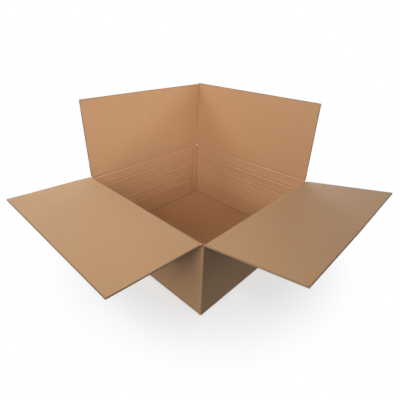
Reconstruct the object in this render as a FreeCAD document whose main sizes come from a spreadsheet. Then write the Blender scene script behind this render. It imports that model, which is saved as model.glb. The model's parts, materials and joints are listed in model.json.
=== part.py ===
"""Open corrugated carton with four top flaps, standing on its taped bottom.

Frame: +Z up, origin in the middle of the base underside, millimetres. The two x panels
stand at the ends of X and the two y panels at the ends of Y. The nearest corner of the
photograph is at +X, -Y, so the front right panel is at +X and the front left one at -Y.
"""
import FreeCAD, Part
import math
import os

import Sketcher

os.makedirs("parts", exist_ok=True)

doc = FreeCAD.newDocument("open_carton")

# Driving dimensions in millimetres and degrees: name, value, note
DIMENSIONS = [
    ("inner_length", 600.0, "inside, along X"),
    ("inner_width", 600.0, "inside, along Y"),
    ("panel_height", 275.0, "each wall panel, from its bottom fold to its top fold"),
    ("board", 4.0, "thickness of the single wall board"),
    ("fold_radius", 1.0, "inside radius of every folded corner"),
    ("sheet_gap", 0.3, "between sheets that lie flat on each other"),
    ("hinge_gap", 0.25, "each bevelled edge stops this far short of its hinge line"),
    ("corner_land", 0.4, "flat strip of a panel beside each rounded corner, up to the slots"),
    ("flap_side_gap", 0.4, "each side edge of a top flap stops this far short of its slot"),
    ("flap_meet_gap", 2.0, "between two top flaps that meet when closed"),
    ("seam_gap", 1.0, "between two bottom flaps that meet"),
    ("slot_overcut", 1.0, "the slots between flaps run this far past the lower fold"),
    ("tab_width", 36.0, "glue tab, seen from inside"),
    ("tab_taper", 6.0, "the tab's free edge is this much shorter at each end"),
    ("tab_end_gap", 1.0, "from the tab's ends to the floor and to a closed flap"),
    ("joint_groove", 4.5, "width of the groove outside the glued corner, beside the cut edge"),
    ("crease_pitch", 45.0, "from one pressed crease to the next"),
    ("crease_count", 4.0, "pressed creases below the top fold"),
    ("crease_width", 8.0, "pressed groove on the inside"),
    ("crease_depth", 1.2, "pressed groove on the inside"),
    ("tape_width", 50.0, "bottom tape"),
    ("tape_thickness", 0.1, "bottom tape, pressed flush into the board"),
    ("tape_bend", 2.5, "inside radius where the tape turns up the wall"),
    ("tape_tail", 65.0, "height of the tape's end above the base"),
    ("front_left_angle", 86.0, "outward from upright, as photographed"),
    ("front_right_angle", 80.0, "outward from upright, as photographed"),
    ("back_left_angle", 2.1, "outward from upright, as photographed"),
    ("back_right_angle", 0.0, "outward from upright, as photographed"),
]

# Formulas that several pieces share
HALF_X = "(dims.inner_length / 2 + dims.board)"
HALF_Y = "(dims.inner_width / 2 + dims.board)"
OUTER_RADIUS = "(dims.board + dims.fold_radius)"
PANEL_INSET = "(dims.board + dims.fold_radius + dims.corner_land)"
FLAP_INSET = f"({PANEL_INSET} + dims.flap_side_gap)"
X_FOLD = "0"
Y_FOLD = "(dims.board + dims.sheet_gap)"
FLOOR = "(2 * dims.board + dims.sheet_gap)"
X_HINGE = "dims.panel_height"
Y_HINGE = "(dims.board + dims.sheet_gap + dims.panel_height)"
SLOT_BOTTOM = "(dims.board + dims.sheet_gap + dims.slot_overcut)"
SLOT_TOP = "(dims.panel_height - dims.slot_overcut)"


def make_sheet():
    """Write the driving dimensions to the spreadsheet, one row each."""
    sheet = doc.addObject("Spreadsheet::Sheet", "dims")
    for row, (alias, value, note) in enumerate(DIMENSIONS, start=1):
        sheet.set(f"A{row}", alias)
        sheet.set(f"B{row}", str(value))
        sheet.set(f"C{row}", note)
        sheet.setAlias(f"B{row}", alias)
    doc.recompute()
    return sheet


dims = make_sheet()


def number(formula):
    """Value of a formula of the sheet's dimensions."""
    return float(dims.evalExpression(formula))


def new_body(name):
    """Empty body whose label names its file."""
    body = doc.addObject("PartDesign::Body", name)
    body.Label = name
    return body


def new_sketch(body, name, plane, offset=None):
    """Sketch on one of the body's own origin planes, moved along its normal by a formula."""
    sketch = body.newObject("Sketcher::SketchObject", name)
    support = next(f for f in body.Origin.OriginFeatures if f.Role == plane)
    sketch.AttachmentSupport = [(support, "")]
    sketch.MapMode = "FlatFace"
    if offset:
        sketch.setExpression("AttachmentOffset.Base.z", offset)
    return sketch


def arc_between(start, end, radius, turns_left):
    """Short arc from start to end; turns_left says that it turns anticlockwise."""
    chord = end - start
    middle = (start + end) / 2
    left = FreeCAD.Vector(-chord.y, chord.x, 0).normalize()
    reach = math.sqrt(max(radius ** 2 - (chord.Length / 2) ** 2, 0.0))
    centre = middle + left * (reach if turns_left else -reach)
    bulge = centre + left * (-radius if turns_left else radius)
    return Part.Arc(start, bulge, end)


def add_loop(sketch, corners):
    """Closed outline whose corners and radii are all formulas.

    Each corner is (across, up) or (across, up, radius, turns_left), where the last two
    say that the edge from this corner to the next is an arc.
    """
    first = sketch.GeometryCount
    count = len(corners)
    points = [FreeCAD.Vector(number(c[0]), number(c[1]), 0) for c in corners]
    for index, corner in enumerate(corners):
        start, end = points[index], points[(index + 1) % count]
        if len(corner) == 2:
            sketch.addGeometry(Part.LineSegment(start, end))
        else:
            sketch.addGeometry(arc_between(start, end, number(corner[2]), corner[3]))

    def end_of(index, at_start):
        """Which end of a sketched edge lies at the start or the end of its run."""
        clockwise = len(corners[index]) == 4 and not corners[index][3]
        return 1 if at_start != clockwise else 2

    for index, corner in enumerate(corners):
        edge = first + index
        following = (index + 1) % count
        sketch.addConstraint(Sketcher.Constraint(
            "Coincident", edge, end_of(index, False), first + following, end_of(following, True)))
        for kind, formula in (("DistanceX", corner[0]), ("DistanceY", corner[1])):
            place = sketch.addConstraint(Sketcher.Constraint(
                kind, -1, 1, edge, end_of(index, True), number(formula)))
            sketch.setExpression(f"Constraints[{place}]", formula)
        if len(corner) == 4:
            size = sketch.addConstraint(Sketcher.Constraint("Radius", edge, number(corner[2])))
            sketch.setExpression(f"Constraints[{size}]", corner[2])


def mirrored(corners, across=True, up=False):
    """The same outline on the other side of the sketch's upright or level axis."""
    result = []
    for corner in corners:
        first = f"-({corner[0]})" if across else corner[0]
        second = f"-({corner[1]})" if up else corner[1]
        arc = (corner[2], corner[3] != (across != up)) if len(corner) == 4 else ()
        result.append((first, second) + arc)
    return result


def extrude(body, sketch, length, kind="Pad", both_ways=False, backwards=False):
    """Pad or Pocket of a sketch by a formula, checked to add or remove material."""
    doc.recompute()
    before = body.Shape.Volume if body.Tip and not body.Shape.isNull() else 0.0
    feature = body.newObject(f"PartDesign::{kind}", f"{sketch.Name}_{kind.lower()}")
    feature.Profile = sketch
    feature.SideType = "Symmetric" if both_ways else "One side"
    feature.Reversed = backwards
    feature.setExpression("Length", length)
    doc.recompute()
    change = body.Shape.Volume - before
    if change * (1 if kind == "Pad" else -1) <= 0:
        raise RuntimeError(f"{feature.Name} changes no material")
    return feature


def repeat_down(body, feature, sketch, pitch, copies):
    """Repeat a feature downwards along its sketch's upright axis."""
    pattern = body.newObject("PartDesign::LinearPattern", f"{feature.Name}_row")
    pattern.Originals = [feature]
    pattern.Direction = (sketch, ["V_Axis"])
    pattern.Reversed = True
    pattern.Mode = "Spacing"
    pattern.setExpression("Offset", pitch)
    pattern.setExpression("Occurrences", copies)
    body.Tip = pattern
    doc.recompute()


def panel_outline(half, fold, hinge):
    """Section through one wall panel: bevelled top, upright wall, fold and bottom flap."""
    inner = f"{half} - dims.board"
    bend_in = f"{half} - {OUTER_RADIUS}"
    bend_up = f"{fold} + {OUTER_RADIUS}"
    top = f"{hinge} - dims.hinge_gap"
    return [
        ("dims.seam_gap / 2", fold),
        (bend_in, fold, OUTER_RADIUS, True),
        (half, bend_up),
        (half, top),
        (inner, f"{top} - dims.board"),
        (inner, bend_up, "dims.fold_radius", False),
        (bend_in, f"{fold} + dims.board"),
        ("dims.seam_gap / 2", f"{fold} + dims.board"),
    ]


def add_panels(body, name, plane, half, fold, hinge, other_half):
    """Two opposite wall panels with their bottom flaps, between the corner slots."""
    sketch = new_sketch(body, name, plane)
    outline = panel_outline(half, fold, hinge)
    add_loop(sketch, outline)
    add_loop(sketch, mirrored(outline))
    extrude(body, sketch, f"2 * ({other_half} - {PANEL_INSET})", both_ways=True)


def corner_outline():
    """Plan of one folded corner at +X, +Y."""
    return [
        (HALF_X, f"{HALF_Y} - {PANEL_INSET}"),
        (HALF_X, f"{HALF_Y} - {OUTER_RADIUS}", OUTER_RADIUS, True),
        (f"{HALF_X} - {OUTER_RADIUS}", HALF_Y),
        (f"{HALF_X} - {PANEL_INSET}", HALF_Y),
        (f"{HALF_X} - {PANEL_INSET}", f"{HALF_Y} - dims.board"),
        (f"{HALF_X} - {OUTER_RADIUS}", f"{HALF_Y} - dims.board", "dims.fold_radius", False),
        (f"{HALF_X} - dims.board", f"{HALF_Y} - {OUTER_RADIUS}"),
        (f"{HALF_X} - dims.board", f"{HALF_Y} - {PANEL_INSET}"),
    ]


def add_folded_corners(body):
    """The three corners where the sheet is folded, from slot to slot."""
    sketch = new_sketch(body, "folded_corners", "XY_Plane", SLOT_BOTTOM)
    outline = corner_outline()
    add_loop(sketch, outline)
    add_loop(sketch, mirrored(outline, across=False, up=True))
    add_loop(sketch, mirrored(outline, across=True, up=True))
    extrude(body, sketch, f"{SLOT_TOP} - {SLOT_BOTTOM}")


def add_glued_corner(body):
    """The corner at -X, +Y: the x panel ends in a cut edge, the y panel folds into the tab."""
    cut_face = f"(-{HALF_X} + dims.board)"
    bend_across = f"({cut_face} + {OUTER_RADIUS})"
    bend_up = f"({HALF_Y} - {OUTER_RADIUS})"
    edge = new_sketch(body, "cut_edge", "XY_Plane", SLOT_BOTTOM)
    add_loop(edge, [
        (f"-{HALF_X}", f"{HALF_Y} - {PANEL_INSET}"),
        (cut_face, f"{HALF_Y} - {PANEL_INSET}"),
        (cut_face, HALF_Y),
        (f"-{HALF_X}", HALF_Y),
    ])
    extrude(body, edge, f"{SLOT_TOP} - {SLOT_BOTTOM}")

    bend = new_sketch(body, "tab_bend", "XY_Plane", SLOT_BOTTOM)
    add_loop(bend, [
        (cut_face, bend_up),
        (f"{cut_face} + dims.board", bend_up, "dims.fold_radius", False),
        (bend_across, f"{HALF_Y} - dims.board"),
        (bend_across, HALF_Y),
        (cut_face, HALF_Y),
    ])
    extrude(body, bend, f"{SLOT_TOP} - {SLOT_BOTTOM}")

    groove = new_sketch(body, "glued_corner_groove", "XY_Plane")
    reach = f"sqrt({OUTER_RADIUS} ^ 2 - dims.joint_groove ^ 2)"
    add_loop(groove, [
        (cut_face, f"{bend_up} + {reach}", OUTER_RADIUS, False),
        (f"{cut_face} + dims.joint_groove", HALF_Y),
        (cut_face, HALF_Y),
    ])
    extrude(body, groove, Y_HINGE, kind="Pocket", backwards=True)
    add_tab(body)


def add_tab(body):
    """Glue tab, flat against the inside of the x panel at -X, with tapered ends."""
    root = f"{HALF_Y} - {OUTER_RADIUS}"
    edge = f"{HALF_Y} - dims.board - dims.tab_width"
    low = f"{FLOOR} + dims.tab_end_gap"
    high = f"{X_HINGE} - dims.board - dims.tab_end_gap"
    sketch = new_sketch(body, "glue_tab", "YZ_Plane", f"-{HALF_X} + dims.board")
    add_loop(sketch, [
        (root, low),
        (root, high),
        (edge, f"{high} - dims.tab_taper"),
        (edge, f"{low} + dims.tab_taper"),
    ])
    extrude(body, sketch, "dims.board")


def press_creases(body, name, plane, start, face, outward, length):
    """Row of grooves down one inner face, from start along the plane's normal, backwards.

    face is where the inner face lies across the sketch, and outward is the sign of its
    outer side. The grooves run half their depth past each end, so that they join at corners.
    """
    past_end = "dims.crease_depth / 2"
    sketch = new_sketch(body, name, plane, f"{start} + {past_end}")
    half_chord = "dims.crease_width / 2"
    level = f"{X_HINGE} - dims.crease_pitch"
    radius = f"(({half_chord}) ^ 2 + dims.crease_depth ^ 2) / (2 * dims.crease_depth)"
    add_loop(sketch, [
        (face, f"{level} - {half_chord}", radius, outward > 0),
        (face, f"{level} + {half_chord}"),
    ])
    groove = extrude(body, sketch, f"{length} + 2 * {past_end}", kind="Pocket")
    repeat_down(body, groove, sketch, "dims.crease_pitch", "dims.crease_count")


def press_all_creases(body):
    """Creases on all four panels, level with each other, and on the glue tab."""
    face_x = f"({HALF_X} - dims.board)"
    face_y = f"({HALF_Y} - dims.board)"
    press_creases(body, "front_left_creases", "YZ_Plane",
                  face_x, f"-{face_y}", -1, "dims.inner_length")
    press_creases(body, "back_right_creases", "YZ_Plane",
                  face_x, face_y, 1, "dims.inner_length - dims.board")
    press_creases(body, "front_right_creases", "XZ_Plane",
                  face_y, face_x, 1, "dims.inner_width")
    press_creases(body, "back_left_creases", "XZ_Plane", face_y, f"-{face_x}", -1,
                  "dims.inner_width - dims.tab_width - dims.crease_depth / 2")
    press_creases(body, "tab_creases", "XZ_Plane", f"-({face_y} - dims.tab_width)",
                  f"-{face_x} + dims.board", -1, "dims.tab_width")


def press_tape_seat(body):
    """Shallow seat that the tape presses into the underside of the outer bottom flaps."""
    sketch = new_sketch(body, "tape_seat", "YZ_Plane")
    reach = f"{HALF_Y} - {PANEL_INSET}"
    add_loop(sketch, [
        (f"-({reach})", "0"),
        (reach, "0"),
        (reach, "dims.tape_thickness"),
        (f"-({reach})", "dims.tape_thickness"),
    ])
    extrude(body, sketch, "dims.tape_width", kind="Pocket", both_ways=True)


def make_carton_body():
    """The folded sheet: four panels, glue tab, four bottom flaps and pressed creases."""
    body = new_body("carton_body")
    add_panels(body, "x_panels", "XZ_Plane", HALF_X, X_FOLD, X_HINGE, HALF_Y)
    add_panels(body, "y_panels", "YZ_Plane", HALF_Y, Y_FOLD, Y_HINGE, HALF_X)
    add_folded_corners(body)
    add_glued_corner(body)
    press_all_creases(body)
    press_tape_seat(body)
    return body


def make_flap(name, plane, side, half, hinge, other_half):
    """Top flap on its hinge line, turned outward from upright by its photographed angle."""
    body = new_body(name)
    sketch = new_sketch(body, f"{name}_section", plane)
    inside = "(-dims.board)" if side > 0 else "dims.board"
    length = f"{half} - dims.flap_meet_gap / 2"
    add_loop(sketch, [
        ("0", "dims.hinge_gap"),
        ("0", length),
        (inside, length),
        (inside, "dims.board + dims.hinge_gap"),
    ])
    extrude(body, sketch, f"2 * ({other_half} - {FLAP_INSET})", both_ways=True)
    across = "x" if plane == "XZ_Plane" else "y"
    turn_axis = FreeCAD.Vector(0, side, 0) if across == "x" else FreeCAD.Vector(-side, 0, 0)
    body.Placement = FreeCAD.Placement(FreeCAD.Vector(), FreeCAD.Rotation(turn_axis, 1))
    body.setExpression("Placement.Rotation.Angle", f"dims.{name.replace('_flap', '')}_angle")
    body.setExpression(f"Placement.Base.{across}", half if side > 0 else f"-{half}")
    body.setExpression("Placement.Base.z", hinge)
    return body


def make_bottom_tape():
    """Tape along the seam of the outer bottom flaps, turned up both y panels."""
    body = new_body("bottom_tape")
    sketch = new_sketch(body, "tape_section", "YZ_Plane")
    thick = "dims.tape_thickness"
    turn_in = f"{HALF_Y} - dims.tape_bend"
    turn_up = f"{thick} + dims.tape_bend"
    outer_bend = f"dims.tape_bend + {thick}"
    outer_face = f"{HALF_Y} + {thick}"
    add_loop(sketch, [
        (f"-({turn_in})", "0"),
        (turn_in, "0", outer_bend, True),
        (outer_face, turn_up),
        (outer_face, "dims.tape_tail"),
        (HALF_Y, "dims.tape_tail"),
        (HALF_Y, turn_up, "dims.tape_bend", False),
        (turn_in, thick),
        (f"-({turn_in})", thick, "dims.tape_bend", False),
        (f"-{HALF_Y}", turn_up),
        (f"-{HALF_Y}", "dims.tape_tail"),
        (f"-({outer_face})", "dims.tape_tail"),
        (f"-({outer_face})", turn_up, outer_bend, True),
    ])
    extrude(body, sketch, "dims.tape_width", both_ways=True)
    return body


def check_and_export(bodies):
    """Stop on any failed object or bad shape, then write one file for each piece."""
    doc.recompute()
    for item in doc.Objects:
        if "Invalid" in item.State or "Error" in item.State:
            raise RuntimeError(f"{item.Name} failed: {item.State}")
    for body in bodies:
        shape = body.Shape
        if shape.isNull() or not shape.isValid() or len(shape.Solids) != 1:
            raise RuntimeError(f"{body.Label} is not one valid solid")
    for body in bodies:
        body.Shape.exportStep(f"parts/{body.Label}.step")
        box = body.Shape.BoundBox
        print(f"{body.Label}: {body.Shape.Volume:.0f} mm3,",
              f"x {box.XMin:.1f} to {box.XMax:.1f}, y {box.YMin:.1f} to {box.YMax:.1f},",
              f"z {box.ZMin:.1f} to {box.ZMax:.1f}")


check_and_export([
    make_carton_body(),
    make_flap("front_left_flap", "YZ_Plane", -1, HALF_Y, Y_HINGE, HALF_X),
    make_flap("front_right_flap", "XZ_Plane", 1, HALF_X, X_HINGE, HALF_Y),
    make_flap("back_left_flap", "XZ_Plane", -1, HALF_X, X_HINGE, HALF_Y),
    make_flap("back_right_flap", "YZ_Plane", 1, HALF_Y, Y_HINGE, HALF_X),
    make_bottom_tape(),
])
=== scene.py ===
"""Looks of an open corrugated carton: fluted board, rounded folds, pressed creases and tape."""

import json
import logging
import math
from contextlib import contextmanager
from dataclasses import dataclass
from enum import Enum
from typing import Callable, Iterator, Sequence

import bmesh
import bpy
from mathutils import Matrix, Vector


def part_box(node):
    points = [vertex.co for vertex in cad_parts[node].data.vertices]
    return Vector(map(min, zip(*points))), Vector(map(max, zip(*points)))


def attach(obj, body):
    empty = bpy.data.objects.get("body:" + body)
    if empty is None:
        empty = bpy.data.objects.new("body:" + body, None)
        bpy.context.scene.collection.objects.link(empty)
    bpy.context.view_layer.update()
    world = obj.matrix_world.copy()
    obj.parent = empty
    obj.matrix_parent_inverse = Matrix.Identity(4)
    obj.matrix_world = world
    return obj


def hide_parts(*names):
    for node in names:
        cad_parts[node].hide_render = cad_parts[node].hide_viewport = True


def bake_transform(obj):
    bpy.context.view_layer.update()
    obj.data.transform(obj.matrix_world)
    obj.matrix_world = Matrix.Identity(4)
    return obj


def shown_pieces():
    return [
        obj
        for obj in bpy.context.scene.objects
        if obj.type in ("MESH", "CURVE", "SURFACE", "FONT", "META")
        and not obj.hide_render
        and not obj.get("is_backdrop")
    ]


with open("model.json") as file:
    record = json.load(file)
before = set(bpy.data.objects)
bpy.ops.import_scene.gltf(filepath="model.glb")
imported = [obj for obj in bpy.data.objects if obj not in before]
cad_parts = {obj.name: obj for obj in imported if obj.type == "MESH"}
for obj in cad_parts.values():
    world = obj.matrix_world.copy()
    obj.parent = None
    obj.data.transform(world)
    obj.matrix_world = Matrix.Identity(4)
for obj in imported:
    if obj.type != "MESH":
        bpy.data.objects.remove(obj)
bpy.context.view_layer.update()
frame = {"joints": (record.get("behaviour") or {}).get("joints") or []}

MM = 0.001
QUARTER = math.pi / 2
UP = Vector((0, 0, 1))
FLAT = 0.01 * MM
log = logging.getLogger("carton")

Test = Callable[[Vector], bool]


# Mesh tools


def only(*objects: bpy.types.Object) -> None:
    """Select these objects alone and make the last one active."""
    bpy.ops.object.select_all(action="DESELECT")
    for item in objects:
        item.select_set(True)
    bpy.context.view_layer.objects.active = objects[-1]


@contextmanager
def editing(item: bpy.types.Object) -> Iterator[None]:
    """Hold an object in edit mode with nothing selected at first."""
    only(item)
    bpy.ops.object.mode_set(mode="EDIT")
    bpy.ops.mesh.select_all(action="DESELECT")
    yield
    bpy.ops.object.mode_set(mode="OBJECT")


def pick(item: bpy.types.Object, test: Test, kind: str = "FACE") -> int:
    """Select the faces, edges or vertices in edit mode whose middle passes a test.

    Args:
        item: the object being edited.
        test: says whether a middle point counts.
        kind: FACE, EDGE or VERT.

    Returns:
        How many were selected.
    """
    bpy.ops.mesh.select_mode(type=kind)
    bpy.ops.mesh.select_all(action="DESELECT")
    mesh = bmesh.from_edit_mesh(item.data)
    found = 0
    for part in {"FACE": mesh.faces, "EDGE": mesh.edges, "VERT": mesh.verts}[kind]:
        if kind == "VERT":
            middle = part.co
        else:
            middle = sum((v.co for v in part.verts), Vector()) / len(part.verts)
        if test(middle):
            part.select_set(True)
            found += 1
    mesh.select_flush_mode()
    bmesh.update_edit_mesh(item.data)
    return found


def push(step: Vector) -> None:
    """Extrude what is selected by one step."""
    bpy.ops.mesh.extrude_region_move(TRANSFORM_OT_translate={"value": tuple(step)})


def turn(centre: Vector, axis: Vector, angle: float, steps: int) -> None:
    """Extrude what is selected round an axis, by the right-hand rule (spin turns the other way)."""
    bpy.ops.mesh.spin(steps=steps, angle=-angle, center=tuple(centre), axis=tuple(axis))


def draw_outline(name: str, points: Sequence[Vector], closed: bool = True) -> bpy.types.Object:
    """Chain of edges from point to point, filled as one face where it is closed.

    Args:
        name: the object's name.
        points: the corners in order.
        closed: whether the chain is filled.

    Returns:
        The new object, with its origin at the frame's origin.
    """
    bpy.ops.object.select_all(action="DESELECT")
    bpy.ops.mesh.primitive_plane_add(size=MM)
    item = bpy.context.active_object
    item.name = name
    item.data.name = name
    with editing(item):
        bpy.ops.mesh.select_mode(type="VERT")
        bpy.ops.mesh.select_all(action="SELECT")
        bpy.ops.mesh.merge(type="CENTER")
        bpy.ops.transform.translate(value=tuple(points[0]))
        for before, after in zip(points, points[1:]):
            push(after - before)
        if closed:
            bpy.ops.mesh.select_all(action="SELECT")
            bpy.ops.mesh.edge_face_add()
    return item


def apply_modifiers(item: bpy.types.Object) -> None:
    """Apply an object's modifiers in order."""
    only(item)
    for modifier in list(item.modifiers):
        bpy.ops.object.modifier_apply(modifier=modifier.name)


def outward(item: bpy.types.Object) -> None:
    """Point every face outwards."""
    with editing(item):
        bpy.ops.mesh.select_all(action="SELECT")
        bpy.ops.mesh.normals_make_consistent(inside=False)


def shade(item: bpy.types.Object, degrees: float = 32.0) -> None:
    """Smooth the gentle edges and keep the sharp ones."""
    only(item)
    bpy.ops.object.shade_smooth_by_angle(angle=math.radians(degrees))


def join(name: str, *parts: bpy.types.Object) -> bpy.types.Object:
    """Join parts into one object under a name."""
    only(*parts)
    bpy.ops.object.join()
    item = bpy.context.active_object
    item.name = name
    item.data.name = name
    return item


def place(item: bpy.types.Object, where: Matrix) -> None:
    """Move a mesh to its place and leave the object at the origin."""
    item.matrix_world = where
    only(item)
    bpy.ops.object.transform_apply(location=True, rotation=True, scale=True)


def lay_pattern(item: bpy.types.Object, rule: Callable[[Vector, Vector], tuple[float, float]]) -> None:
    """Give a mesh a UV map in metres: across the flutes, then along them.

    Args:
        item: the object.
        rule: gives both values from a corner's place and its face's middle.
    """
    layer = item.data.uv_layers.new(name="board")
    for face in item.data.polygons:
        for loop in face.loop_indices:
            corner = item.data.vertices[item.data.loops[loop].vertex_index].co
            layer.data[loop].uv = rule(corner, face.center)


def mark_painted_shade(item: bpy.types.Object, test: Test) -> None:
    """Mark where shade is painted into a piece's paper: its folds, recesses and cut edges.

    Args:
        item: the piece.
        test: true for the places of the marked vertices.
    """
    # This attribute marks painted shade, which the paper's material darkens.
    wear = item.data.attributes.get("wear") or item.data.attributes.new("wear", "FLOAT", "POINT")
    for vertex, value in zip(item.data.vertices, wear.data):
        if test(vertex.co):
            value.value = 1.0


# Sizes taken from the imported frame


@dataclass(frozen=True)
class BoardSizes:
    """What the board is made of and how it folds."""

    thickness: float
    liner: float = 0.4 * MM
    medium: float = 0.3 * MM
    flute_pitch: float = 7.5 * MM
    wave_steps: int = 10
    # Width of the painted shade along a flap's cut edges.
    shaded_edge_width: float = 2.6 * MM
    fold_radius: float = 1.0 * MM
    sheet_gap: float = 0.3 * MM

    @property
    def outer_radius(self) -> float:
        """Outside radius of a folded corner."""
        return self.thickness + self.fold_radius


@dataclass(frozen=True)
class CartonSizes:
    """The carton's main places, in metres."""

    half_x: float
    half_y: float
    x_hinge: float
    y_hinge: float
    flap_half: float
    flap_length: float
    tape_half: float
    tape_tail: float
    board: BoardSizes
    corner_land: float = 0.4 * MM
    seam_gap: float = 1.0 * MM
    slot_overcut: float = 1.0 * MM
    tab_width: float = 36.0 * MM
    tab_taper: float = 6.0 * MM
    tab_clear: float = 1.0 * MM
    crease_pitch: float = 45.0 * MM
    crease_count: int = 4
    fold_reach: float = 9.0 * MM
    side_clearance: float = 0.2 * MM
    crease_spread: float = 3.2 * MM

    @classmethod
    def from_frame(cls) -> "CartonSizes":
        """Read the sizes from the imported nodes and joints."""
        low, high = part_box("carton_body")
        flap_low, flap_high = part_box("back_right_flap")
        tape_low, tape_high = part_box("bottom_tape")
        heights = {joint["child"]: joint["pos_m"][2] for joint in frame["joints"]}
        y_hinge = heights["back_right_flap"]
        return cls(
            half_x=high.x,
            half_y=high.y,
            x_hinge=heights["front_right_flap"],
            y_hinge=y_hinge,
            flap_half=flap_high.x,
            flap_length=flap_high.z - y_hinge,
            tape_half=tape_high.x,
            tape_tail=tape_high.z,
            board=BoardSizes(thickness=flap_high.y - flap_low.y),
        )

    @property
    def y_fold(self) -> float:
        """Underside of the inner bottom flaps."""
        return self.board.thickness + self.board.sheet_gap

    @property
    def plate_half(self) -> float:
        """Half width of a flap clear of its crease, just short of the faces beside it."""
        return self.half_x - self.board.thickness - self.side_clearance

    @property
    def land(self) -> float:
        """From an outer face to the end of the panel beside it."""
        return self.board.outer_radius + self.corner_land


# Finishes


class Tone(Enum):
    """Colours of the board's papers, as linear values."""

    LINER = (0.56, 0.315, 0.155)
    LINER_LIGHT = (0.63, 0.39, 0.21)
    FIBRE_DARK = (0.34, 0.17, 0.075)
    MEDIUM = (0.34, 0.22, 0.135)
    MEDIUM_LIGHT = (0.46, 0.32, 0.2)
    # Painted shade for the folds, recesses and cut edges.
    WORN = (0.2, 0.11, 0.055)
    TAPE = (0.36, 0.205, 0.10)


class Nodes:
    """Small helper that adds and links the nodes of one material."""

    def __init__(self, name: str) -> None:
        """Start an empty node material."""
        self.material = bpy.data.materials.new(name)
        self.material.use_nodes = True
        self.tree = self.material.node_tree
        self.tree.nodes.clear()
        self.output = self.tree.nodes.new("ShaderNodeOutputMaterial")

    def add(self, kind: str, **values: object) -> bpy.types.Node:
        """Add a node and set its properties and unlinked inputs.

        Args:
            kind: the node's type name, without the ShaderNode prefix.
            values: properties, or inputs by name with spaces written as _.

        Returns:
            The new node.
        """
        node = self.tree.nodes.new("ShaderNode" + kind)
        for key, value in values.items():
            if hasattr(node, key):
                setattr(node, key, value)
            else:
                node.inputs[key.replace("_", " ")].default_value = value
        return node

    def link(self, source: bpy.types.NodeSocket, target: bpy.types.NodeSocket) -> None:
        """Join two sockets."""
        self.tree.links.new(source, target)

    def math(self, operation: str, first: object, second: object = 0.0) -> bpy.types.NodeSocket:
        """Add one sum; each value is a number or a socket.

        Args:
            operation: the Math node's operation.
            first: the first value.
            second: the second value.

        Returns:
            The result's socket.
        """
        node = self.tree.nodes.new("ShaderNodeMath")
        node.operation = operation
        for socket, value in zip(node.inputs, (first, second)):
            if isinstance(value, (int, float)):
                socket.default_value = value
            else:
                self.link(value, socket)
        return node.outputs[0]

    def mix(self, share: object, first: object, second: object, blend: str = "MIX") -> bpy.types.NodeSocket:
        """Mix two colours; each value is a tuple or a socket.

        Args:
            share: how much of the second colour.
            first: the first colour.
            second: the second colour.
            blend: the blend type.

        Returns:
            The mixed colour's socket.
        """
        node = self.tree.nodes.new("ShaderNodeMix")
        node.data_type = "RGBA"
        node.blend_type = blend
        sockets = (node.inputs[0], node.inputs[6], node.inputs[7])
        for socket, value in zip(sockets, (share, first, second)):
            if isinstance(value, bpy.types.NodeSocket):
                self.link(value, socket)
            elif isinstance(value, tuple):
                socket.default_value = (*value, 1.0)
            else:
                socket.default_value = value
        return node.outputs[2]


def stretched_noise(nodes: Nodes, uv: bpy.types.Node, scale: tuple[float, float],
                    detail: float) -> bpy.types.NodeSocket:
    """Noise stretched over the board.

    Args:
        nodes: the material being made.
        uv: the node that gives the board's coordinates.
        scale: how fine it is across and along the flutes.
        detail: the noise's detail.

    Returns:
        The noise's socket.
    """
    stretch = nodes.add("Mapping")
    stretch.inputs["Scale"].default_value = (*scale, 1.0)
    nodes.link(uv.outputs[0], stretch.inputs[0])
    noise = nodes.add("TexNoise", Scale=1.0, Detail=detail, Roughness=0.6)
    nodes.link(stretch.outputs[0], noise.inputs["Vector"])
    return noise.outputs["Fac"]


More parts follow.
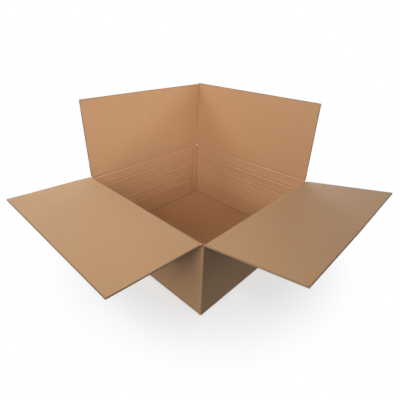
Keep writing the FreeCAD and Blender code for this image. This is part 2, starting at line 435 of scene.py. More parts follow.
@dataclass(frozen=True)
class KraftPaper:
    """Unbleached kraft paper on the board: mottled, fibrous, faintly ribbed by the flutes, with shade
    painted where marked.
    """

    name: str
    base: Tone
    light: Tone
    rib_pitch: float
    rib_height: float = 0.06 * MM
    mottle: float = 0.55
    cloud_scale: tuple[float, float] = (7.0, 7.0)
    grain_scale: tuple[float, float] = (90.0, 420.0)
    grain_share: float = 0.55
    grain_lift: float = 0.12
    fuzz_height: float = 0.05 * MM
    fibre_scale: tuple[float, float] = (700.0, 2600.0)
    fibre_level: float = 0.66
    fibre_share: float = 0.22
    rib_share: float = 0.035
    roughness: float = 0.5
    specular: float = 0.4
    sheen: float = 0.25
    sheen_roughness: float = 0.35
    # Strength of the painted shade where the attribute marks it.
    wear: float = 0.8

    def build(self) -> bpy.types.Material:
        """Make the material on the pieces' own board coordinates."""
        nodes = Nodes(self.name)
        uv = nodes.add("UVMap", uv_map="board")
        split = nodes.add("SeparateXYZ")
        nodes.link(uv.outputs[0], split.inputs[0])
        across = split.outputs[0]

        clouds = stretched_noise(nodes, uv, self.cloud_scale, detail=4.0)
        grain = stretched_noise(nodes, uv, self.grain_scale, detail=3.0)
        fibres = stretched_noise(nodes, uv, self.fibre_scale, detail=2.0)
        tone = nodes.mix(
            nodes.math("MULTIPLY", clouds, self.mottle), self.base.value, self.light.value)
        lighter = nodes.math("MULTIPLY", nodes.math("SUBTRACT", grain, 0.5), self.grain_share)
        tone = nodes.mix(nodes.math("ADD", lighter, self.grain_lift), tone, self.light.value)
        specks = nodes.math("GREATER_THAN", fibres, self.fibre_level)
        tone = nodes.mix(nodes.math("MULTIPLY", specks, self.fibre_share), tone, Tone.FIBRE_DARK.value)

        phase = nodes.math("MULTIPLY", across, 2 * math.pi / self.rib_pitch)
        rib = nodes.math("SINE", phase)
        ribbed = nodes.math("MULTIPLY", nodes.math("ADD", rib, 1.0), self.rib_share)
        tone = nodes.mix(ribbed, tone, Tone.FIBRE_DARK.value)

        # Painted shade: the paper darkens where folds, recesses and cut edges are marked.
        wear = nodes.add("Attribute", attribute_name="wear")
        shade_share = nodes.math("MULTIPLY", wear.outputs["Fac"], self.wear)
        tone = nodes.mix(shade_share, tone, Tone.WORN.value)

        relief = nodes.math("MULTIPLY", rib, self.rib_height / 2)
        fuzz = nodes.math("MULTIPLY", grain, self.fuzz_height)
        height = nodes.math("ADD", relief, fuzz)
        bump = nodes.add("Bump", Strength=1.0, Distance=1.0)
        nodes.link(height, bump.inputs["Height"])

        shader = nodes.add("BsdfPrincipled", Roughness=self.roughness)
        shader.inputs["Specular IOR Level"].default_value = self.specular
        shader.inputs["Sheen Weight"].default_value = self.sheen
        shader.inputs["Sheen Roughness"].default_value = self.sheen_roughness
        nodes.link(tone, shader.inputs["Base Color"])
        nodes.link(bump.outputs[0], shader.inputs["Normal"])
        nodes.link(shader.outputs[0], nodes.output.inputs[0])
        return nodes.material


@dataclass(frozen=True)
class TapeFilm:
    """Brown packing tape: smooth film with fine lengthwise streaks and small blisters."""

    name: str = "packing_tape_film"
    streak_scale: tuple[float, float] = (900.0, 14.0)
    streak_share: float = 0.3
    blister_scale: tuple[float, float] = (120.0, 90.0)
    blister_height: float = 0.12 * MM
    roughness: float = 0.28

    def build(self) -> bpy.types.Material:
        """Make the material on the tape's own coordinates."""
        nodes = Nodes(self.name)
        uv = nodes.add("UVMap", uv_map="board")
        streaks = stretched_noise(nodes, uv, self.streak_scale, detail=2.0)
        blisters = stretched_noise(nodes, uv, self.blister_scale, detail=1.0)
        streaked = nodes.math("MULTIPLY", streaks, self.streak_share)
        tone = nodes.mix(streaked, Tone.TAPE.value, Tone.LINER.value)
        height = nodes.math("MULTIPLY", blisters, self.blister_height)
        bump = nodes.add("Bump", Strength=0.6, Distance=1.0)
        nodes.link(height, bump.inputs["Height"])
        shader = nodes.add("BsdfPrincipled", Roughness=self.roughness)
        nodes.link(tone, shader.inputs["Base Color"])
        nodes.link(bump.outputs[0], shader.inputs["Normal"])
        nodes.link(shader.outputs[0], nodes.output.inputs[0])
        return nodes.material


@dataclass
class Finishes:
    """Every material of the carton."""

    liner: bpy.types.Material
    medium: bpy.types.Material
    tape: bpy.types.Material

    @classmethod
    def make(cls, board: BoardSizes) -> "Finishes":
        """Build the carton's materials."""
        return cls(
            liner=KraftPaper("kraft_liner", Tone.LINER, Tone.LINER_LIGHT, board.flute_pitch).build(),
            medium=KraftPaper("fluted_medium", Tone.MEDIUM, Tone.MEDIUM_LIGHT, board.flute_pitch,
                              rib_height=0.0, roughness=0.9).build(),
            tape=TapeFilm().build(),
        )


def finish_piece(item: bpy.types.Object, slot: str, *materials: bpy.types.Material) -> None:
    """Hang materials on a piece."""
    item.data.materials.clear()
    for material in materials:
        item.data.materials.append(material)


# The folded sheet


@dataclass(frozen=True)
class Fold:
    """The inside of one fold: the centre of its bend and the way it bulges."""

    centre: Vector
    out: Vector
    end_share: float = 0.1

    def holds(self, place: Vector, near: float, far: float) -> bool:
        """Whether a place is between two radii of the bend, clear of the bend's two ends.

        Args:
            place: the place.
            near: the smaller radius.
            far: the larger radius.

        Returns:
            True where it is.
        """
        steps = [(p - c) * out for p, c, out in zip(place, self.centre, self.out) if out]
        return min(steps) > self.end_share * near and near < math.hypot(*steps) < far


@dataclass
class CartonSheet:
    """Walls, glue tab and bottom flaps, folded from one sheet and swept panel by panel."""

    sizes: CartonSizes
    corner_steps: int = 6
    crease_depth: float = 1.4 * MM
    crease_half: float = 4.5 * MM
    crease_foot: float = 1.9
    lip: float = 0.4 * MM
    outer_ridge: float = 0.15 * MM
    crease_end: float = 1.0 * MM
    crease_fade: float = 26.0 * MM
    rib_count: int = 6
    rib_height: float = 0.55 * MM
    rib_foot: float = 0.5 * MM
    score_radius: float = 2.9 * MM
    floor_slot: float = 2.4 * MM
    edge_depth: float = 3.0 * MM

    @property
    def low(self) -> float:
        """Where the swept walls start, above both bottom folds."""
        return self.sizes.y_fold + self.sizes.board.outer_radius

    @property
    def high(self) -> float:
        """Where the swept walls end, below both top folds."""
        return self.sizes.x_hinge - self.sizes.fold_reach

    @property
    def tab_bend(self) -> float:
        """Where the y panel starts to bend into the glue tab."""
        s = self.sizes
        return -s.half_x + s.board.thickness + s.board.outer_radius

    def crease_heights(self) -> list[float]:
        """Heights of the pressed creases, lowest first."""
        s = self.sizes
        return [s.x_hinge - s.crease_pitch * n for n in range(s.crease_count, 0, -1)]

    def groove(self) -> list[tuple[float, float]]:
        """Upper half of a crease's section: rise in half widths, and depth below the face."""
        return [
            (1.5, -self.lip), (1.15, -self.lip), (0.8, 0.35 * self.crease_depth),
            (0.4, 0.85 * self.crease_depth), (0.0, self.crease_depth),
        ]

    def wall_section(self) -> list[Vector]:
        """Section of the wall at the cut edge: outer face up, inner face down."""
        s = self.sizes
        outer, inner = -s.half_x, -s.half_x + s.board.thickness
        start = s.half_y
        points = [Vector((outer, start, self.low))]
        for level in self.crease_heights():
            for rise, out in ((-self.crease_half, 0.0), (0.0, self.outer_ridge), (self.crease_half, 0.0)):
                points.append(Vector((outer - out, start, level + rise)))
        points += [Vector((outer, start, self.high)), Vector((inner, start, self.high))]
        groove = self.groove()
        foot = self.crease_foot
        profile = [(foot, 0.0), *groove] + [(-r, d) for r, d in reversed(groove[:-1])] + [(-foot, 0.0)]
        for level in reversed(self.crease_heights()):
            for rise, depth in profile:
                points.append(Vector((inner - depth, start, level + rise * self.crease_half)))
        points.append(Vector((inner, start, self.low)))
        return points

    def sweep_walls(self) -> bpy.types.Object:
        """Carry the section round the four panels and into the glue tab."""
        s = self.sizes
        radius = s.board.outer_radius
        x, y = s.half_x, s.half_y
        tab_edge = y - s.board.thickness - s.tab_width
        sheet = draw_outline("carton_sheet", self.wall_section())
        plain = s.board.thickness + s.tab_width + self.crease_end
        with editing(sheet):
            bpy.ops.mesh.select_all(action="SELECT")
            push(Vector((0, -s.land, 0)))
            push(Vector((0, s.land - plain, 0)))
            for n in range(self.rib_count):
                sway = self.rib_height * (-1 if n % 2 else 1)
                push(Vector((sway, -self.crease_fade / self.rib_count, 0)))
            self._panel(Vector((0, -1, 0)), self.rib_foot,
                        2 * y - plain - self.crease_fade - self.rib_foot - s.land)
            turn(Vector((-x + radius, -y + radius, 0)), UP, QUARTER, self.corner_steps)
            self._panel(Vector((1, 0, 0)), s.corner_land, 2 * (x - s.land))
            turn(Vector((x - radius, -y + radius, 0)), UP, QUARTER, self.corner_steps)
            self._panel(Vector((0, 1, 0)), s.corner_land, 2 * (y - s.land))
            turn(Vector((x - radius, y - radius, 0)), UP, QUARTER, self.corner_steps)
            push(Vector((-s.corner_land, 0, 0)))
            push(Vector((self.tab_bend - (x - s.land), 0, 0)))
            turn(Vector((self.tab_bend, y - radius, 0)), UP, QUARTER, self.corner_steps)
            push(Vector((0, -(s.tab_width - s.board.fold_radius), 0)))
            self._flatten(sheet, -x + s.board.thickness, y - plain - FLAT, y + FLAT)
            self._score(sheet, self._corner_folds())
            self._flatten(sheet, -x + 2 * s.board.thickness, tab_edge - FLAT, y - radius + FLAT)
        return sheet

    def _corner_folds(self) -> list[Fold]:
        """The folds of the four standing corners."""
        s = self.sizes
        x, y = s.half_x - s.board.outer_radius, s.half_y - s.board.outer_radius
        places = ((-x, -y), (x, -y), (x, y), (self.tab_bend, y))
        return [Fold(Vector((a, b, 0)), Vector((math.copysign(1, a), math.copysign(1, b), 0)))
                for a, b in places]

    def _floor_folds(self) -> list[Fold]:
        """The folds between the y panels and the inner bottom flaps."""
        y = self.sizes.half_y - self.sizes.board.outer_radius
        return [Fold(Vector((0, side * y, self.low)), Vector((0, side, -1))) for side in (-1, 1)]

    def _score(self, sheet: bpy.types.Object, folds: Sequence[Fold]) -> None:
        """Press the score line into the inside of each fold, creases and all.

        Args:
            sheet: the sheet being edited.
            folds: the folds.
        """
        depths = sorted({0.0} | {depth for _, depth in self.groove()})
        for fold in folds:
            for depth in depths:
                radius = self.sizes.board.fold_radius + depth
                grow = self.score_radius / radius
                if pick(sheet, lambda p: fold.holds(p, radius - FLAT, radius + FLAT), "VERT"):
                    bpy.ops.transform.resize(
                        value=[grow if out else 1.0 for out in fold.out], center_override=fold.centre)

    def _part_floor(self, sheet: bpy.types.Object) -> None:
        """Draw the sides of the inner bottom flaps back from the x panels, as real slots do."""
        s = self.sizes
        edge = s.half_x - s.land
        share = (edge - self.floor_slot) / edge
        pick(sheet, lambda p: abs(abs(p.x) - edge) < FLAT and s.y_fold - FLAT < p.z < self.low
             and abs(p.y) < s.half_y - s.board.outer_radius + FLAT, "VERT")
        bpy.ops.transform.resize(value=(share, 1, 1), center_override=(0, 0, 0))

    def paint_fold_shade(self, sheet: bpy.types.Object) -> None:
        """Paint shade into the scored folds and into the gap between the x panels and the floor."""
        radius = self.sizes.board.fold_radius
        for fold in self._corner_folds() + self._floor_folds():
            mark_painted_shade(sheet, lambda p: fold.holds(p, radius, self.score_radius + FLAT * 10))
        skin = self.sizes.board.thickness
        inside = self.sizes.half_x - skin
        mark_painted_shade(sheet, lambda p: inside - radius < abs(p.x) < inside + FLAT
                  and skin - FLAT < p.z < self.low - FLAT)

    def _flatten(self, sheet: bpy.types.Object, face: float, start: float, end: float) -> None:
        """Bring the creases within reach of one face back level with it.

        Args:
            sheet: the sheet being edited.
            face: the face's place along x.
            start: the stretch's lower end along y.
            end: the stretch's upper end along y.
        """
        reach = self.crease_depth + self.lip
        pick(sheet, lambda p: abs(p.x - face) < reach and start < p.y < end, "VERT")
        bpy.ops.transform.resize(value=(0, 1, 1), center_override=(face, 0, 0))

    def _panel(self, heading: Vector, before: float, length: float) -> None:
        """Carry the section on by a first step, a panel and the land before its corner."""
        push(heading * before)
        push(heading * length)
        push(heading * self.sizes.corner_land)

    def fold_bottom(self, sheet: bpy.types.Object) -> None:
        """Fold the four bottom flaps in from the panels and end the corners at their slots."""
        s = self.sizes
        radius = s.board.outer_radius
        x, y = s.half_x, s.half_y
        within = 0.75 * s.board.thickness
        with editing(sheet):
            for side in (-1, 1):
                pick(sheet, lambda p: abs(p.z - self.low) < FLAT
                     and abs(side * p.x - x) < within and abs(p.y) < y - s.land)
                push(Vector((0, 0, radius - self.low)))
                turn(Vector((side * (x - radius), 0, radius)), Vector((0, side, 0)), QUARTER,
                     self.corner_steps)
                push(Vector((-side * (x - radius - s.seam_gap / 2), 0, 0)))
            for side in (-1, 1):
                pick(sheet, lambda p: abs(p.z - self.low) < FLAT
                     and abs(side * p.y - y) < within and abs(p.x) < x - s.land)
                turn(Vector((0, side * (y - radius), self.low)), Vector((-side, 0, 0)), QUARTER,
                     self.corner_steps)
                push(Vector((0, -side * (y - radius - s.seam_gap / 2), 0)))
            pick(sheet, lambda p: abs(p.z - self.low) < FLAT
                 and abs(p.x) > -self.tab_bend - FLAT and abs(p.y) > y - s.land)
            push(Vector((0, 0, s.y_fold + s.slot_overcut - self.low)))
            self._score(sheet, self._floor_folds())
            self._part_floor(sheet)

    def finish_tops(self, sheet: bpy.types.Object) -> None:
        """Bring the y panels, the corners and the glue tab up to their own heights."""
        s = self.sizes
        x, y = s.half_x, s.half_y
        skin = s.board.thickness
        tab_edge = y - skin - s.tab_width
        tab_top = s.x_hinge - skin - s.tab_clear

        def top(p: Vector) -> bool:
            """Whether a place is at the end of the swept walls."""
            return abs(p.z - self.high) < FLAT

        def on_tab(p: Vector) -> bool:
            """Whether a place is on the glue tab's flat part."""
            return -x + skin < p.x < -x + 2 * skin and tab_edge - FLAT < p.y < y - s.board.outer_radius

        with editing(sheet):
            pick(sheet, lambda p: top(p) and abs(p.y) > y - skin and abs(p.x) < -self.tab_bend - FLAT)
            push(Vector((0, 0, s.y_hinge - s.x_hinge)))
            pick(sheet, lambda p: top(p) and abs(p.x) > -self.tab_bend - FLAT and abs(p.y) > y - s.land)
            push(Vector((0, 0, s.x_hinge - s.slot_overcut - self.high)))
            pick(sheet, lambda p: top(p) and on_tab(p))
            push(Vector((0, 0, tab_top - self.high)))
            for low_end in (False, True):
                level = self.low if low_end else tab_top
                pick(sheet, lambda p: abs(p.z - level) < FLAT and on_tab(p)
                     and abs(p.y - tab_edge) < FLAT, "VERT")
                bpy.ops.transform.translate(
                    value=(0, 0, s.tab_taper if low_end else -s.tab_taper))

    def sink_cut_edges(self, sheet: bpy.types.Object) -> None:
        """Hollow the cut edges between their two liners, where the flutes' sides show."""
        s = self.sizes
        with editing(sheet):
            for test in self._cut_edges():
                if pick(sheet, test):
                    bpy.ops.mesh.inset(thickness=s.board.liner, use_even_offset=False)
                    bpy.ops.mesh.extrude_region_shrink_fatten(
                        TRANSFORM_OT_shrink_fatten={"value": -self.edge_depth})
                    sheet.active_material_index = 1
                    bpy.ops.object.material_slot_assign()

    def _cut_edges(self) -> list[Test]:
        """Tests that find the cut edges seen on the outside: glued corner, tab and seams."""
        s = self.sizes
        tab_edge = s.half_y - s.board.thickness - s.tab_width
        near_tab = -s.half_x + 2 * s.board.thickness
        return [
            lambda p: abs(p.y - s.half_y) < FLAT and p.x < -s.half_x + s.board.thickness
            and p.z > self.low,
            lambda p: abs(p.y - tab_edge) < FLAT and -s.half_x < p.x < near_tab and p.z > self.low,
            lambda p: abs(abs(p.x) - s.seam_gap / 2) < FLAT and p.z < s.y_fold,
            lambda p: abs(abs(p.y) - s.seam_gap / 2) < FLAT and p.z < self.low,
        ]

    def pattern_rule(self, corner: Vector, middle: Vector) -> tuple[float, float]:
        """Across and along the flutes for one corner of a face."""
        s = self.sizes
        if middle.z > self.low:
            on_x = abs(middle.x) > abs(middle.y)
        elif middle.z < s.y_fold - s.board.sheet_gap / 2:
            on_x = True
        else:
            on_x = abs(middle.x) > s.half_x - s.board.thickness - s.board.fold_radius / 2
        if on_x:
            return corner.y, corner.z + s.half_x - abs(corner.x)
        return corner.x, corner.z + s.half_y - abs(corner.y)

    def build(self, finishes: Finishes) -> bpy.types.Object:
        """Make the whole sheet.

        Args:
            finishes: the carton's materials.

        Returns:
            The piece, riding on the carton.
        """
        sheet = self.sweep_walls()
        self.fold_bottom(sheet)
        self.finish_tops(sheet)
        outward(sheet)
        finish_piece(sheet, "kraft_board", finishes.liner, finishes.medium)
        self.sink_cut_edges(sheet)
        self.paint_fold_shade(sheet)
        lay_pattern(sheet, self.pattern_rule)
        shade(sheet)
        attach(sheet, "carton")
        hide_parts("carton_body")
        return sheet


# The top flaps


@dataclass
class TopFlap:
    """One top flap of fluted board and the folded crease that joins it to its wall."""

    name: str
    sizes: CartonSizes
    hinge: Vector
    outward_axis: Vector
    angle: float
    droop: float = 0.0
    corner_side: int = 0
    corner_pull: float = 0.0
    length_steps: int = 10
    width_steps: int = 16

    @property
    def body(self) -> str:
        """The moving body's name."""
        return self.name + "_flap"

    @property
    def along(self) -> Vector:
        """Direction of the hinge line, so that opening turns about it by the right-hand rule."""
        return UP.cross(self.outward_axis)

    @property
    def closes_last(self) -> bool:
        """Whether the flap is on a y panel, so that it closes over the other pair."""
        return abs(self.outward_axis.y) > abs(self.outward_axis.x)

    def upright(self) -> Matrix:
        """From the flap's own axes (hinge line, inward, up) to the upright flap in the frame."""
        inward = -self.outward_axis
        basis = Matrix((self.along, inward, UP)).transposed().to_4x4()
        return Matrix.Translation(self.hinge) @ basis

    def opened(self) -> Matrix:
        """From the flap's own axes to the opened flap in the frame."""
        swing = Matrix.Rotation(self.angle, 4, self.along)
        shift = Matrix.Translation(self.hinge)
        return shift @ swing @ shift.inverted() @ self.upright()

    def liner(self, name: str, inner: bool) -> bpy.types.Object:
        """One flat liner of the flap, from the crease to the free edge."""
        board = self.sizes.board
        start = self.sizes.fold_reach
        near = board.thickness - board.liner if inner else 0.0
        half = self.sizes.plate_half
        unshaded_half = half - board.shaded_edge_width
        across = [-half]
        across += [-unshaded_half + 2 * unshaded_half * n / self.width_steps for n in range(self.width_steps + 1)]
        across.append(half)
        outline = [Vector((x, near, start)) for x in across]
        outline += [Vector((x, near + board.liner, start)) for x in reversed(across)]
        plate = draw_outline(name, outline)
        step = (self.sizes.flap_length - board.shaded_edge_width - start) / self.length_steps
        with editing(plate):
            bpy.ops.mesh.select_all(action="SELECT")
            for _ in range(self.length_steps):
                push(Vector((0, 0, step)))
            push(Vector((0, 0, board.shaded_edge_width)))
        outward(plate)
        # Painted shade along the flap's side and free edges.
        mark_painted_shade(plate, lambda p: abs(p.x) > half - FLAT or p.z > self.sizes.flap_length - FLAT)
        return plate

    def medium(self, name: str) -> bpy.types.Object:
        """The waved middle layer: one flute drawn, then repeated across the flap."""
        board = self.sizes.board
        width = 2 * self.sizes.plate_half
        count = round(width / board.flute_pitch)
        pitch = width / count
        start = self.sizes.fold_reach
        rise = (self.sizes.flap_length - start) / self.length_steps
        reach = (board.thickness - board.medium) / 2 - board.liner
        middle = board.thickness / 2
        chain = [Vector((-self.sizes.plate_half, middle - reach, start + rise * n))
                 for n in range(self.length_steps + 1)]
        sheet = draw_outline(name, chain, closed=False)
        with editing(sheet):
            bpy.ops.mesh.select_all(action="SELECT")
            before = -reach
            for n in range(1, board.wave_steps + 1):
                after = -reach * math.cos(2 * math.pi * n / board.wave_steps)
                push(Vector((pitch / board.wave_steps, after - before, 0)))
                before = after
        repeat = sheet.modifiers.new("flutes", "ARRAY")
        repeat.use_relative_offset = False
        repeat.use_constant_offset = True
        repeat.constant_offset_displace = (pitch, 0, 0)
        repeat.count = count
        repeat.use_merge_vertices = True
        repeat.merge_threshold = FLAT
        skin = sheet.modifiers.new("paper", "SOLIDIFY")
        skin.thickness = board.medium
        skin.offset = 0.0
        apply_modifiers(sheet)
        outward(sheet)
        return sheet

    def board_piece(self, finishes: Finishes) -> bpy.types.Object:
        """The flap itself: two liners and the flutes between them."""
        layers = [self.liner(f"{self.name}_inner", True), self.liner(f"{self.name}_outer", False)]
        for layer in layers:
            lay_pattern(layer, lambda corner, middle: (corner.x, corner.z))
            shade(layer)
            layer.data.materials.append(finishes.liner)
        waves = self.medium(f"{self.name}_waves")
        lay_pattern(waves, lambda corner, middle: (corner.x, corner.z))
        shade(waves)
        waves.data.materials.append(finishes.medium)
        flap = join(f"{self.name}_top_flap", waves, *layers)
        self.warp(flap)
        place(flap, self.opened())
        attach(flap, self.body)
        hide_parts(self.body)
        return flap

    def warp(self, flap: bpy.types.Object) -> None:
        """Let the free edge droop outward and pull one free corner inward, as board left open does.

        Args:
            flap: the flat flap in its own axes.
        """
        length = self.sizes.flap_length
        half = self.sizes.plate_half
        edge = 0.5 * MM
        reach = length - self.sizes.fold_reach
        with editing(flap):
            if self.droop:
                pick(flap, lambda p: p.z > length - edge, "VERT")
                bpy.ops.transform.translate(
                    value=(0, -self.droop, 0), use_proportional_edit=True,
                    proportional_edit_falloff="SMOOTH", proportional_size=reach)
            if self.corner_pull:
                pick(flap, lambda p: p.z > length - edge
                     and p.x * self.corner_side > half - self.sizes.board.flute_pitch, "VERT")
                bpy.ops.transform.translate(
                    value=(0, self.corner_pull, 0), use_proportional_edit=True,
                    proportional_edit_falloff="LINEAR", proportional_size=reach)

    def fold_section(self) -> list[Vector]:
        """Section of the creased board where the wall turns into the flap, in the flap's plane.

        The board is pressed thinner at the crease, and its inner face turns smoothly.
        """
        board = self.sizes.board
        reach = self.sizes.fold_reach
        bend_half = 4.0 * MM
        press_half = 5.0 * MM
        pressed = 1.7 * MM
        steps = 18

        def outer(run: float) -> Vector:
            """Outer face at a distance from the hinge line."""
            lean = self.angle if run > 0 else 0.0
            return Vector((0, -math.sin(lean), math.cos(lean))) * run

        def inner(run: float) -> Vector:
            """Inner face at a distance from the hinge line, thinned by the press."""
            share = min(max((run + bend_half) / (2 * bend_half), 0.0), 1.0)
            lean = self.angle * share * share * (3 - 2 * share)
            dent = math.cos(min(abs(run) / press_half, 1.0) * QUARTER) ** 2
            depth = board.thickness - pressed * dent
            return outer(run) + Vector((0, math.cos(lean), math.sin(lean))) * depth

        runs = [-reach + 2 * reach * n / steps for n in range(steps + 1)]
        outer_runs = [-reach, 0.0, reach]
        return [outer(run) for run in outer_runs] + [inner(run) for run in reversed(runs)]

    def crease_piece(self, finishes: Finishes) -> bpy.types.Object:
        """The folded strip between wall and flap.

        On the flaps that close last the pressed board spreads sideways over the walls beside it.
        """
        half = self.sizes.flap_half
        section = [Vector((-half, p.y, p.z)) for p in self.fold_section()]
        strip = draw_outline(f"{self.name}_crease", section)
        with editing(strip):
            bpy.ops.mesh.select_all(action="SELECT")
            push(Vector((2 * half, 0, 0)))
            if self.closes_last:
                lean = Vector((0, -math.sin(self.angle), math.cos(self.angle)))
                above_hinge = 0.5 * MM
                pick(strip, lambda p: p.dot(lean) > above_hinge, "VERT")
                spread = 1 + self.sizes.crease_spread / half
                bpy.ops.transform.resize(value=(spread, 1, 1), center_override=(0, 0, 0))
        outward(strip)
        lay_pattern(strip, lambda corner, middle: (corner.x, corner.z - corner.y))
        shade(strip, degrees=40.0)
        place(strip, self.upright())
        finish_piece(strip, "kraft_board", finishes.liner)
        lean = Matrix.Rotation(self.angle, 3, self.along) @ UP
        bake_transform(strip)
        return strip

    def build(self, finishes: Finishes) -> None:
        """Make the flap and its crease."""
        self.board_piece(finishes)
        self.crease_piece(finishes)


# The bottom tape


@dataclass
class BottomTape:
    """Tape along the outer bottom seam, turned up both y panels, torn on a toothed cutter."""

    sizes: CartonSizes
    thickness: float = 0.1 * MM
    bend: float = 2.5 * MM
    bend_steps: int = 6
    teeth: int = 24
    tooth: float = 1.1 * MM

    def build(self, finishes: Finishes) -> bpy.types.Object:
        """Make the tape.

        Args:
            finishes: the carton's materials.

        Returns:
            The piece, riding on the carton.
        """
        s = self.sizes
        y = s.half_y
        half = s.tape_half
        tail = s.tape_tail
        outline = [
            Vector((-half, y, tail)),
            Vector((half, y, tail)),
            Vector((half, y + self.thickness, tail)),
            Vector((-half, y + self.thickness, tail)),
        ]
        tape = draw_outline("seam_tape", outline)
        centre_z = self.bend + self.thickness
        with editing(tape):
            bpy.ops.mesh.select_all(action="SELECT")
            push(Vector((0, 0, centre_z - tail)))
            turn(Vector((0, y - self.bend, centre_z)), Vector((-1, 0, 0)), QUARTER, self.bend_steps)
            push(Vector((0, -2 * (y - self.bend), 0)))
            turn(Vector((0, -y + self.bend, centre_z)), Vector((-1, 0, 0)), QUARTER, self.bend_steps)
            push(Vector((0, 0, tail - centre_z)))
            pick(tape, lambda p: abs(p.z - tail) < FLAT and abs(p.x) < half * 0.9, "EDGE")
            bpy.ops.mesh.subdivide(number_cuts=self.teeth * 2 - 1)
            step = half / self.teeth
            pick(tape, lambda p: abs(p.z - tail) < FLAT
                 and round((p.x + half) / step) % 2 == 1, "VERT")
            bpy.ops.transform.translate(value=(0, 0, -self.tooth))
        outward(tape)
        lay_pattern(tape, lambda corner, middle: (corner.x, corner.y + corner.z))
        shade(tape)
        finish_piece(tape, "packing_tape", finishes.tape)
        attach(tape, "carton")
        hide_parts("bottom_tape")
        return tape


# Stage, light and camera


@dataclass(frozen=True)
class SoftLamp:
    """One soft lamp aimed at the carton: a wide disk, or a shallow strip that throws a narrow beam."""

    name: str
    turn: float
    height: float
    power: float
    size: float = 1.3
    strip: float = 0.0
    spread: float = 180.0
    distance: float = 2.8
    aim: tuple[float, float, float] = (0.0, 0.0, 0.25)

    def build(self) -> None:
        """Place the lamp at its turn (from +X) and height, both in degrees."""
        turn_by, rise = math.radians(self.turn), math.radians(self.height)
        towards = Vector((math.cos(rise) * math.cos(turn_by), math.cos(rise) * math.sin(turn_by),
                          math.sin(rise)))
        aim = Vector(self.aim)
        bpy.ops.object.light_add(type="AREA", location=aim + towards * self.distance)
        lamp = bpy.context.active_object
        lamp.name = self.name
        lamp.data.shape = "RECTANGLE" if self.strip else "DISK"
        lamp.data.size = self.size
        if self.strip:
            lamp.data.size_y = self.strip
        lamp.data.spread = math.radians(self.spread)
        lamp.data.energy = self.power
        lamp.rotation_euler = (-towards).to_track_quat("-Z", "Y").to_euler()


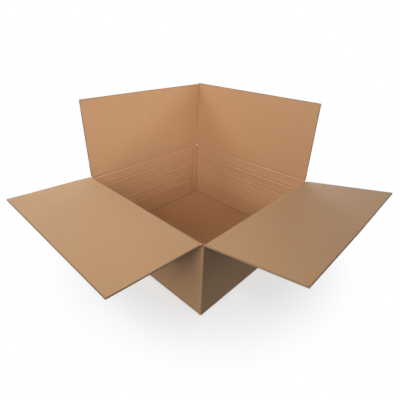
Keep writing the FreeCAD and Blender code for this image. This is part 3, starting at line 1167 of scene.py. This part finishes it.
@dataclass(frozen=True)
class Studio:
    """White floor and background with a light shadow, and soft lamps round the carton."""

    floor_size: float = 12.0
    floor_albedo: float = 0.03
    shadow_share: float = 0.4
    shadow_near: float = 0.36
    shadow_far: float = 0.66
    ambient: float = 0.01
    lamps: tuple[SoftLamp, ...] = (
        SoftLamp("left_key", turn=-77.3, height=25.0, power=39.1),
        SoftLamp("left_back_fill", turn=-137.3, height=40.0, power=26.5),
        SoftLamp("right_fill", turn=12.7, height=25.0, power=9.1),
        SoftLamp("right_strip", turn=-17.3, height=28.0, power=1.02, size=1.1, strip=0.3, spread=25.0,
                 distance=2.6, aim=(-0.3, 0.0, 0.46)),
        SoftLamp("far_right_strip", turn=42.7, height=20.0, power=0.42, size=1.1, strip=0.3, spread=25.0,
                 distance=2.6, aim=(-0.3, 0.0, 0.46)),
        SoftLamp("left_flap_strip", turn=-90.0, height=60.0, power=0.17, size=0.5, strip=0.3, spread=24.0,
                 distance=2.0, aim=(0.24, -0.41, 0.29)),
        SoftLamp("back_strip", turn=133.0, height=8.0, power=2.0, size=1.2, strip=0.5, spread=40.0,
                 distance=2.6, aim=(-0.15, 0.15, 0.25)),
    )

    def build(self) -> None:
        """Make the floor, the world and the lamps."""
        self._floor()
        self._world()
        for lamp in self.lamps:
            lamp.build()

    def _floor(self) -> None:
        """Floor that looks white, keeps a soft share of the shadow and throws little light back."""
        bpy.ops.object.select_all(action="DESELECT")
        bpy.ops.mesh.primitive_plane_add(size=self.floor_size)
        floor = bpy.context.active_object
        floor.name = "studio_floor"
        nodes = Nodes("studio_floor_white")
        place_on = nodes.add("TexCoord")
        distance = nodes.add("VectorMath", operation="LENGTH")
        nodes.link(place_on.outputs["Object"], distance.inputs[0])
        fade = nodes.add("MapRange", interpolation_type="SMOOTHSTEP", From_Min=self.shadow_near,
                         From_Max=self.shadow_far, To_Min=self.shadow_share, To_Max=0.0)
        nodes.link(distance.outputs["Value"], fade.inputs["Value"])
        dark = nodes.add("BsdfDiffuse", Color=(self.floor_albedo,) * 3 + (1.0,))
        pale = nodes.add("BsdfDiffuse", Color=(1.0, 1.0, 1.0, 1.0))
        glow = nodes.add("Emission", Strength=1.0)
        shown = nodes.add("MixShader")
        nodes.link(fade.outputs[0], shown.inputs[0])
        nodes.link(glow.outputs[0], shown.inputs[1])
        nodes.link(pale.outputs[0], shown.inputs[2])
        rays = nodes.add("LightPath")
        mirrored = nodes.math("MAXIMUM", rays.outputs["Is Glossy Ray"], rays.outputs["Is Transmission Ray"])
        unseen = nodes.add("MixShader")
        nodes.link(mirrored, unseen.inputs[0])
        nodes.link(dark.outputs[0], unseen.inputs[1])
        nodes.link(pale.outputs[0], unseen.inputs[2])
        either = nodes.add("MixShader")
        nodes.link(rays.outputs["Is Camera Ray"], either.inputs[0])
        nodes.link(unseen.outputs[0], either.inputs[1])
        nodes.link(shown.outputs[0], either.inputs[2])
        nodes.link(either.outputs[0], nodes.output.inputs[0])
        floor.data.materials.append(nodes.material)
        floor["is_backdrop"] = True

    def _world(self) -> None:
        """White background for the camera and reflections, and a weak even fill."""
        world = bpy.data.worlds.new("studio_world")
        bpy.context.scene.world = world
        world.use_nodes = True
        tree = world.node_tree
        tree.nodes.clear()
        output = tree.nodes.new("ShaderNodeOutputWorld")
        back = tree.nodes.new("ShaderNodeBackground")
        back.inputs["Color"].default_value = (1.0, 1.0, 1.0, 1.0)
        path = tree.nodes.new("ShaderNodeLightPath")
        shown = path.outputs["Is Camera Ray"]
        for ray in ("Is Glossy Ray", "Is Transmission Ray"):
            either = tree.nodes.new("ShaderNodeMath")
            either.operation = "MAXIMUM"
            tree.links.new(shown, either.inputs[0])
            tree.links.new(path.outputs[ray], either.inputs[1])
            shown = either.outputs[0]
        level = tree.nodes.new("ShaderNodeMapRange")
        level.inputs["To Min"].default_value = self.ambient
        level.inputs["To Max"].default_value = 1.0
        tree.links.new(shown, level.inputs["Value"])
        tree.links.new(level.outputs[0], back.inputs["Strength"])
        tree.links.new(back.outputs[0], output.inputs[0])


@dataclass(frozen=True)
class PhotoCamera:
    """The photograph's camera, worked out from the carton's straight edges."""

    place: tuple[float, float, float] = (0.7629, -0.8279, 0.8073)
    heading: float = -43.6
    pitch: float = 27.575
    roll: float = 1.462
    focal_pixels: float = 312.48
    centre_pixel: tuple[float, float] = (194.2, 192.54)
    image_pixels: float = 400.0
    sensor: float = 36.0

    def build(self) -> None:
        """Make the camera and the plain colour view."""
        heading, pitch = math.radians(self.heading), math.radians(self.pitch)
        look = Vector((math.sin(heading) * math.cos(pitch), math.cos(heading) * math.cos(pitch),
                       -math.sin(pitch)))
        bpy.ops.object.camera_add(location=self.place)
        camera = bpy.context.active_object
        camera.name = "photo_camera"
        camera.rotation_mode = "QUATERNION"
        tilt = Matrix.Rotation(math.radians(self.roll), 4, "Z").to_quaternion()
        camera.rotation_quaternion = look.to_track_quat("-Z", "Y") @ tilt
        camera.data.sensor_width = self.sensor
        camera.data.lens = self.focal_pixels / self.image_pixels * self.sensor
        half = self.image_pixels / 2
        camera.data.shift_x = (half - self.centre_pixel[0]) / self.image_pixels
        camera.data.shift_y = (self.centre_pixel[1] - half) / self.image_pixels
        camera.data.clip_start = 0.01
        scene = bpy.context.scene
        scene.camera = camera
        scene.view_settings.view_transform = "Standard"


def opening_angle(body: str) -> float:
    """Angle from upright at which a flap rests, from its joint's range."""
    fully_out = 150.0
    joint = next(j for j in frame["joints"] if j["child"] == body)
    return math.radians(fully_out - joint["range_deg"][1])


def make_flaps(sizes: CartonSizes) -> list[TopFlap]:
    """The four top flaps on their hinge lines, each with its own slight warp."""
    warps = {
        "front_left": {"droop": 6.0 * MM},
        "front_right": {"corner_side": 1, "corner_pull": 9.0 * MM},
        "back_left": {"corner_side": -1, "corner_pull": 12.0 * MM},
        "back_right": {},
    }
    flaps = []
    for joint in frame["joints"]:
        name = joint["child"].replace("_flap", "")
        hinge = Vector(joint["pos_m"])
        outward_axis = Vector((hinge.x, hinge.y, 0)).normalized()
        flaps.append(TopFlap(name, sizes, hinge, outward_axis, opening_angle(joint["child"]),
                             **warps[name]))
    return flaps


def main() -> None:
    """Build every piece, the stage and the camera."""
    logging.basicConfig(level=logging.INFO, format="%(name)s: %(message)s")
    sizes = CartonSizes.from_frame()
    finishes = Finishes.make(sizes.board)
    CartonSheet(sizes).build(finishes)
    for flap in make_flaps(sizes):
        flap.build(finishes)
    BottomTape(sizes).build(finishes)
    Studio().build()
    PhotoCamera().build()
    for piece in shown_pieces():
        log.info("%s: %d faces", piece.name, len(piece.data.polygons))


if __name__ == "__main__":
    main()
